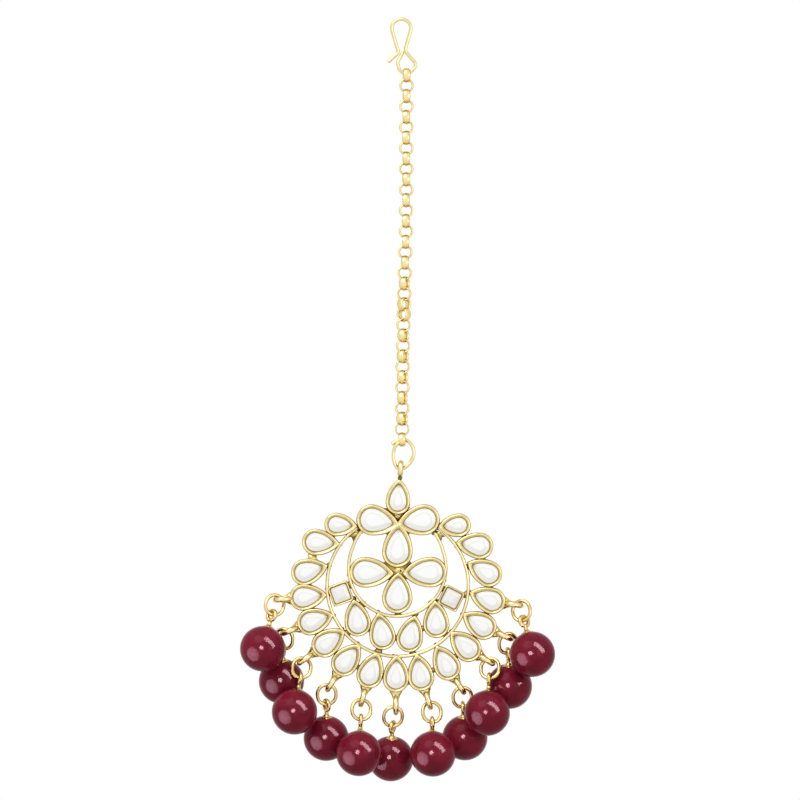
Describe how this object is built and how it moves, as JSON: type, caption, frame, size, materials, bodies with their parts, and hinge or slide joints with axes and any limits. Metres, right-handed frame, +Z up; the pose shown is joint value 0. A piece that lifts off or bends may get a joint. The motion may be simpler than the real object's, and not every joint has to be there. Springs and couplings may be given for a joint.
{
  "type": "maang tikka",
  "caption": "Hair-parting jewel: wire hook, belcher chain and a round openwork pendant of stone-set cups, hung with round beads on jump rings.",
  "frame": {"origin": "inside of the top of the hair hook's arch, where it hangs", "axes": "+Z up, the front faces -Y, +X to the right as seen from the front"},
  "size_m": [0.0708, 0.018, 0.1721],
  "materials": {
    "gold_metal": "polished",
    "white_stone": "polished",
    "red_bead": "polished"
  },
  "bodies": {
    "chain_and_hook": {"hair_hook": "gold_metal", "chain_first_link": "gold_metal", "chain": "gold_metal", "chain_sway_link": "gold_metal"},
    "connector": {"chain_last_link": "gold_metal", "connector_ring": "gold_metal"},
    "pendant": {"bead_01": "red_bead", "bead_02": "red_bead", "bead_03": "red_bead", "bead_04": "red_bead", "bead_05": "red_bead", "bead_06": "red_bead", "bead_07": "red_bead", "bead_08": "red_bead", "bead_09": "red_bead", "bead_10": "red_bead", "bead_11": "red_bead", "drop_fitting_01": "gold_metal", "drop_fitting_02": "gold_metal", "drop_fitting_03": "gold_metal", "drop_fitting_04": "gold_metal", "drop_fitting_05": "gold_metal", "drop_fitting_06": "gold_metal", "drop_fitting_07": "gold_metal", "drop_fitting_08": "gold_metal", "drop_fitting_09": "gold_metal", "drop_fitting_10": "gold_metal", "drop_fitting_11": "gold_metal", "pendant_frame": "gold_metal", "stone_crest": "white_stone", "stone_leaf_1": "white_stone", "stone_leaf_2": "white_stone", "stone_leaf_3": "white_stone", "stone_leaf_4": "white_stone", "stone_petal_bottom": "white_stone", "stone_petal_left": "white_stone", "stone_petal_right": "white_stone", "stone_petal_top": "white_stone", "stone_rim_01": "white_stone", "stone_rim_02": "white_stone", "stone_rim_03": "white_stone", "stone_rim_04": "white_stone", "stone_rim_05": "white_stone", "stone_rim_06": "white_stone", "stone_rim_07": "white_stone", "stone_rim_08": "white_stone", "stone_rim_09": "white_stone", "stone_rim_10": "white_stone", "stone_rim_11": "white_stone", "stone_rim_12": "white_stone", "stone_rim_13": "white_stone", "stone_rim_14": "white_stone", "stone_rim_15": "white_stone", "stone_rim_16": "white_stone", "stone_rim_17": "white_stone", "stone_shoulder_left": "white_stone", "stone_shoulder_right": "white_stone", "stone_square_left": "white_stone", "stone_square_right": "white_stone"}
  },
  "joints": [
    {"name": "connector_sway", "type": "hinge", "parent": "chain_and_hook", "child": "connector", "pos_m": [0.00025, 0, -0.09185], "axis": [0, 1, 0], "range_deg": [-60, 60]},
    {"name": "pendant_swing", "type": "hinge", "parent": "connector", "child": "pendant", "pos_m": [0.0003, 0, -0.10066], "axis": [1, 0, 0], "range_deg": [-90, 90]}
  ]
}
